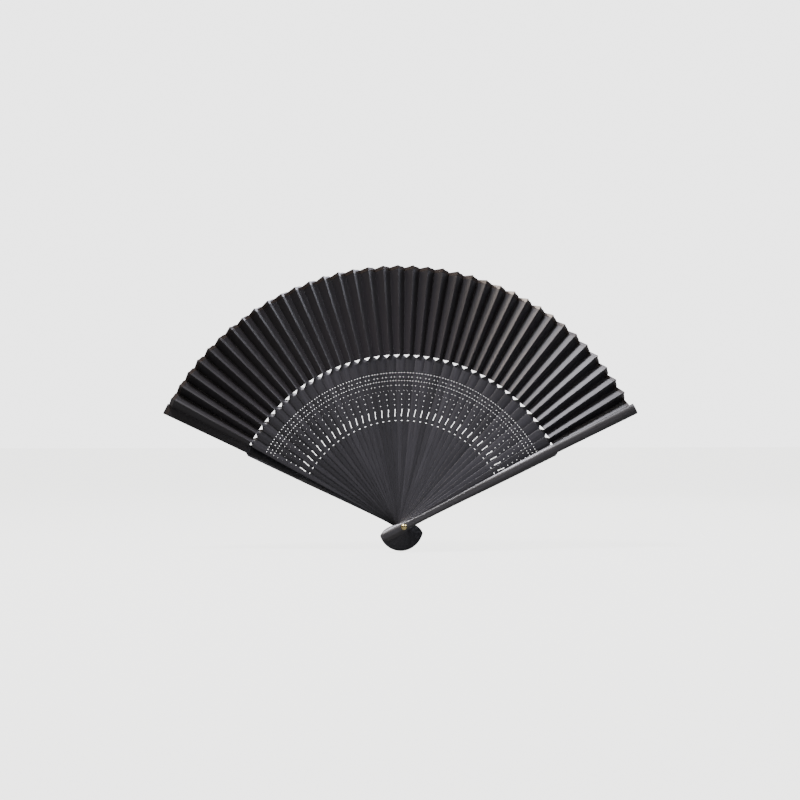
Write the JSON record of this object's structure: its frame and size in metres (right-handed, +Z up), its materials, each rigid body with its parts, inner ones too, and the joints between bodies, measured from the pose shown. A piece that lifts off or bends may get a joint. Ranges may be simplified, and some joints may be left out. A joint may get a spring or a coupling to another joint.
{
  "type": "folding hand fan",
  "caption": "Pleated folding hand fan on pierced sticks: two guards and a row of ribs turn on one rivet and carry a folded leaf with a taped edge.",
  "frame": {"origin": "on the rivet's axis, at mid-depth of the stack of sticks", "axes": "+X to the right and +Z up along the middle rib of the open fan, whose front faces -Y; the rivet runs along Y"},
  "size_m": [0.3468, 0.0348, 0.209],
  "materials": {
    "stick_wood": "black-dyed and lightly polished wood",
    "guard_wood": "black-dyed wood, polished",
    "leaf_silk": "black silk, pleated and pressed",
    "edge_tape": "black satin tape folded over the edge",
    "rivet_brass": "brass, polished"
  },
  "bodies": {
    "back_stick": {"back_guard": "guard_wood", "rib_01": "stick_wood"},
    "stick_02": {"rib_02": "stick_wood"},
    "stick_03": {"rib_03": "stick_wood"},
    "stick_04": {"rib_04": "stick_wood"},
    "stick_05": {"rib_05": "stick_wood"},
    "stick_06": {"rib_06": "stick_wood"},
    "stick_07": {"rib_07": "stick_wood"},
    "stick_08": {"rib_08": "stick_wood"},
    "stick_09": {"rib_09": "stick_wood"},
    "stick_10": {"rib_10": "stick_wood"},
    "stick_11": {"rib_11": "stick_wood"},
    "stick_12": {"rib_12": "stick_wood"},
    "stick_13": {"rib_13": "stick_wood"},
    "stick_14": {"rib_14": "stick_wood"},
    "stick_15": {"rib_15": "stick_wood"},
    "stick_16": {"rib_16": "stick_wood"},
    "stick_17": {"rib_17": "stick_wood"},
    "stick_18": {"rib_18": "stick_wood"},
    "stick_19": {"rib_19": "stick_wood"},
    "stick_20": {"rib_20": "stick_wood", "leaf": "leaf_silk", "leaf_tape": "edge_tape", "rivet": "rivet_brass", "rivet_cap": "rivet_brass"},
    "stick_21": {"rib_21": "stick_wood"},
    "stick_22": {"rib_22": "stick_wood"},
    "stick_23": {"rib_23": "stick_wood"},
    "stick_24": {"rib_24": "stick_wood"},
    "stick_25": {"rib_25": "stick_wood"},
    "stick_26": {"rib_26": "stick_wood"},
    "stick_27": {"rib_27": "stick_wood"},
    "stick_28": {"rib_28": "stick_wood"},
    "stick_29": {"rib_29": "stick_wood"},
    "stick_30": {"rib_30": "stick_wood"},
    "stick_31": {"rib_31": "stick_wood"},
    "stick_32": {"rib_32": "stick_wood"},
    "stick_33": {"rib_33": "stick_wood"},
    "stick_34": {"rib_34": "stick_wood"},
    "stick_35": {"rib_35": "stick_wood"},
    "stick_36": {"rib_36": "stick_wood"},
    "stick_37": {"rib_37": "stick_wood"},
    "stick_38": {"rib_38": "stick_wood"},
    "front_stick": {"front_guard": "guard_wood"}
  },
  "joints": [
    {"name": "fan_fold", "type": "hinge", "parent": "stick_20", "child": "stick_21", "pos_m": [0, 0, 0], "axis": [0, -1, 0], "range_deg": [0, 3.34], "deforming": ["leaf", "leaf_tape"]},
    {"name": "fold_22", "type": "hinge", "parent": "stick_21", "child": "stick_22", "pos_m": [0, 0, 0], "axis": [0, -1, 0], "range_deg": [0, 3.34]},
    {"name": "fold_23", "type": "hinge", "parent": "stick_22", "child": "stick_23", "pos_m": [0, 0, 0], "axis": [0, -1, 0], "range_deg": [0, 3.34]},
    {"name": "fold_24", "type": "hinge", "parent": "stick_23", "child": "stick_24", "pos_m": [0, 0, 0], "axis": [0, -1, 0], "range_deg": [0, 3.34]},
    {"name": "fold_25", "type": "hinge", "parent": "stick_24", "child": "stick_25", "pos_m": [0, 0, 0], "axis": [0, -1, 0], "range_deg": [0, 3.34]},
    {"name": "fold_26", "type": "hinge", "parent": "stick_25", "child": "stick_26", "pos_m": [0, 0, 0], "axis": [0, -1, 0], "range_deg": [0, 3.34]},
    {"name": "fold_27", "type": "hinge", "parent": "stick_26", "child": "stick_27", "pos_m": [0, 0, 0], "axis": [0, -1, 0], "range_deg": [0, 3.34]},
    {"name": "fold_28", "type": "hinge", "parent": "stick_27", "child": "stick_28", "pos_m": [0, 0, 0], "axis": [0, -1, 0], "range_deg": [0, 3.34]},
    {"name": "fold_29", "type": "hinge", "parent": "stick_28", "child": "stick_29", "pos_m": [0, 0, 0], "axis": [0, -1, 0], "range_deg": [0, 3.34]},
    {"name": "fold_30", "type": "hinge", "parent": "stick_29", "child": "stick_30", "pos_m": [0, 0, 0], "axis": [0, -1, 0], "range_deg": [0, 3.34]},
    {"name": "fold_31", "type": "hinge", "parent": "stick_30", "child": "stick_31", "pos_m": [0, 0, 0], "axis": [0, -1, 0], "range_deg": [0, 3.34]},
    {"name": "fold_32", "type": "hinge", "parent": "stick_31", "child": "stick_32", "pos_m": [0, 0, 0], "axis": [0, -1, 0], "range_deg": [0, 3.34]},
    {"name": "fold_33", "type": "hinge", "parent": "stick_32", "child": "stick_33", "pos_m": [0, 0, 0], "axis": [0, -1, 0], "range_deg": [0, 3.34]},
    {"name": "fold_34", "type": "hinge", "parent": "stick_33", "child": "stick_34", "pos_m": [0, 0, 0], "axis": [0, -1, 0], "range_deg": [0, 3.34]},
    {"name": "fold_35", "type": "hinge", "parent": "stick_34", "child": "stick_35", "pos_m": [0, 0, 0], "axis": [0, -1, 0], "range_deg": [0, 3.34]},
    {"name": "fold_36", "type": "hinge", "parent": "stick_35", "child": "stick_36", "pos_m": [0, 0, 0], "axis": [0, -1, 0], "range_deg": [0, 3.34]},
    {"name": "fold_37", "type": "hinge", "parent": "stick_36", "child": "stick_37", "pos_m": [0, 0, 0], "axis": [0, -1, 0], "range_deg": [0, 3.34]},
    {"name": "fold_38", "type": "hinge", "parent": "stick_37", "child": "stick_38", "pos_m": [0, 0, 0], "axis": [0, -1, 0], "range_deg": [0, 3.34]},
    {"name": "fold_39", "type": "hinge", "parent": "stick_38", "child": "front_stick", "pos_m": [0, 0, 0], "axis": [0, -1, 0], "range_deg": [0, 3.34]},
    {"name": "fold_19", "type": "hinge", "parent": "stick_20", "child": "stick_19", "pos_m": [0, 0, 0], "axis": [0, 1, 0], "range_deg": [0, 3.34]},
    {"name": "fold_18", "type": "hinge", "parent": "stick_19", "child": "stick_18", "pos_m": [0, 0, 0], "axis": [0, 1, 0], "range_deg": [0, 3.34]},
    {"name": "fold_17", "type": "hinge", "parent": "stick_18", "child": "stick_17", "pos_m": [0, 0, 0], "axis": [0, 1, 0], "range_deg": [0, 3.34]},
    {"name": "fold_16", "type": "hinge", "parent": "stick_17", "child": "stick_16", "pos_m": [0, 0, 0], "axis": [0, 1, 0], "range_deg": [0, 3.34]},
    {"name": "fold_15", "type": "hinge", "parent": "stick_16", "child": "stick_15", "pos_m": [0, 0, 0], "axis": [0, 1, 0], "range_deg": [0, 3.34]},
    {"name": "fold_14", "type": "hinge", "parent": "stick_15", "child": "stick_14", "pos_m": [0, 0, 0], "axis": [0, 1, 0], "range_deg": [0, 3.34]},
    {"name": "fold_13", "type": "hinge", "parent": "stick_14", "child": "stick_13", "pos_m": [0, 0, 0], "axis": [0, 1, 0], "range_deg": [0, 3.34]},
    {"name": "fold_12", "type": "hinge", "parent": "stick_13", "child": "stick_12", "pos_m": [0, 0, 0], "axis": [0, 1, 0], "range_deg": [0, 3.34]},
    {"name": "fold_11", "type": "hinge", "parent": "stick_12", "child": "stick_11", "pos_m": [0, 0, 0], "axis": [0, 1, 0], "range_deg": [0, 3.34]},
    {"name": "fold_10", "type": "hinge", "parent": "stick_11", "child": "stick_10", "pos_m": [0, 0, 0], "axis": [0, 1, 0], "range_deg": [0, 3.34]},
    {"name": "fold_09", "type": "hinge", "parent": "stick_10", "child": "stick_09", "pos_m": [0, 0, 0], "axis": [0, 1, 0], "range_deg": [0, 3.34]},
    {"name": "fold_08", "type": "hinge", "parent": "stick_09", "child": "stick_08", "pos_m": [0, 0, 0], "axis": [0, 1, 0], "range_deg": [0, 3.34]},
    {"name": "fold_07", "type": "hinge", "parent": "stick_08", "child": "stick_07", "pos_m": [0, 0, 0], "axis": [0, 1, 0], "range_deg": [0, 3.34]},
    {"name": "fold_06", "type": "hinge", "parent": "stick_07", "child": "stick_06", "pos_m": [0, 0, 0], "axis": [0, 1, 0], "range_deg": [0, 3.34]},
    {"name": "fold_05", "type": "hinge", "parent": "stick_06", "child": "stick_05", "pos_m": [0, 0, 0], "axis": [0, 1, 0], "range_deg": [0, 3.34]},
    {"name": "fold_04", "type": "hinge", "parent": "stick_05", "child": "stick_04", "pos_m": [0, 0, 0], "axis": [0, 1, 0], "range_deg": [0, 3.34]},
    {"name": "fold_03", "type": "hinge", "parent": "stick_04", "child": "stick_03", "pos_m": [0, 0, 0], "axis": [0, 1, 0], "range_deg": [0, 3.34]},
    {"name": "fold_02", "type": "hinge", "parent": "stick_03", "child": "stick_02", "pos_m": [0, 0, 0], "axis": [0, 1, 0], "range_deg": [0, 3.34]},
    {"name": "fold_01", "type": "hinge", "parent": "stick_02", "child": "back_stick", "pos_m": [0, 0, 0], "axis": [0, 1, 0], "range_deg": [0, 3.34]}
  ],
  "couplings": [
    {"joint": "fold_22", "follows": "fan_fold", "ratio": 1},
    {"joint": "fold_23", "follows": "fan_fold", "ratio": 1},
    {"joint": "fold_24", "follows": "fan_fold", "ratio": 1},
    {"joint": "fold_25", "follows": "fan_fold", "ratio": 1},
    {"joint": "fold_26", "follows": "fan_fold", "ratio": 1},
    {"joint": "fold_27", "follows": "fan_fold", "ratio": 1},
    {"joint": "fold_28", "follows": "fan_fold", "ratio": 1},
    {"joint": "fold_29", "follows": "fan_fold", "ratio": 1},
    {"joint": "fold_30", "follows": "fan_fold", "ratio": 1},
    {"joint": "fold_31", "follows": "fan_fold", "ratio": 1},
    {"joint": "fold_32", "follows": "fan_fold", "ratio": 1},
    {"joint": "fold_33", "follows": "fan_fold", "ratio": 1},
    {"joint": "fold_34", "follows": "fan_fold", "ratio": 1},
    {"joint": "fold_35", "follows": "fan_fold", "ratio": 1},
    {"joint": "fold_36", "follows": "fan_fold", "ratio": 1},
    {"joint": "fold_37", "follows": "fan_fold", "ratio": 1},
    {"joint": "fold_38", "follows": "fan_fold", "ratio": 1},
    {"joint": "fold_39", "follows": "fan_fold", "ratio": 1},
    {"joint": "fold_19", "follows": "fan_fold", "ratio": 1},
    {"joint": "fold_18", "follows": "fan_fold", "ratio": 1},
    {"joint": "fold_17", "follows": "fan_fold", "ratio": 1},
    {"joint": "fold_16", "follows": "fan_fold", "ratio": 1},
    {"joint": "fold_15", "follows": "fan_fold", "ratio": 1},
    {"joint": "fold_14", "follows": "fan_fold", "ratio": 1},
    {"joint": "fold_13", "follows": "fan_fold", "ratio": 1},
    {"joint": "fold_12", "follows": "fan_fold", "ratio": 1},
    {"joint": "fold_11", "follows": "fan_fold", "ratio": 1},
    {"joint": "fold_10", "follows": "fan_fold", "ratio": 1},
    {"joint": "fold_09", "follows": "fan_fold", "ratio": 1},
    {"joint": "fold_08", "follows": "fan_fold", "ratio": 1},
    {"joint": "fold_07", "follows": "fan_fold", "ratio": 1},
    {"joint": "fold_06", "follows": "fan_fold", "ratio": 1},
    {"joint": "fold_05", "follows": "fan_fold", "ratio": 1},
    {"joint": "fold_04", "follows": "fan_fold", "ratio": 1},
    {"joint": "fold_03", "follows": "fan_fold", "ratio": 1},
    {"joint": "fold_02", "follows": "fan_fold", "ratio": 1},
    {"joint": "fold_01", "follows": "fan_fold", "ratio": 1}
  ]
}
